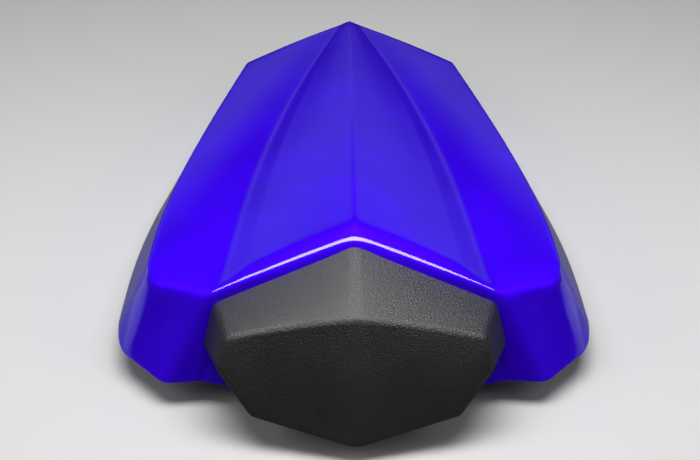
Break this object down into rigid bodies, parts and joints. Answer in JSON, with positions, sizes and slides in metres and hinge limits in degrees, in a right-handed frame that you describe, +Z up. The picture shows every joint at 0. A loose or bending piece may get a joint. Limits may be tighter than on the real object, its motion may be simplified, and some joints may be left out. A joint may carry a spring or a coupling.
{
  "type": "motorcycle seat cowl",
  "caption": "Single-seat tail cowl: painted faceted shell with a ridged hump, V-shaped front wall with a thick faceted backrest pad, and a base plate with striker and tongues.",
  "frame": {"origin": "middle of the bounding box, at the height of the ground it stands on", "axes": "+X across the cowl, +Y towards the tail point, +Z up; the backrest pad faces -Y"},
  "size_m": [0.2678, 0.4027, 0.0889],
  "materials": {
    "paint": "gloss paint on moulded ABS",
    "pad": "fine grained skin",
    "black_plastic": "fine spark-eroded texture",
    "zinc_steel": "bright zinc plating",
    "brass": "plain",
    "rubber": "matte"
  },
  "bodies": {
    "root": {"cowl_shell": "paint", "backrest_pad": "pad", "pad_inserts": "brass", "pad_washers": "zinc_steel", "pad_screws": "zinc_steel", "base_plate": "black_plastic", "base_plate_screws": "zinc_steel", "lock_striker": "zinc_steel", "striker_backing_plate": "zinc_steel", "striker_bolts": "zinc_steel", "striker_nuts": "zinc_steel", "damper_front_left": "rubber", "damper_front_right": "rubber", "damper_rear_left": "rubber", "damper_rear_right": "rubber"}
  },
  "joints": []
}
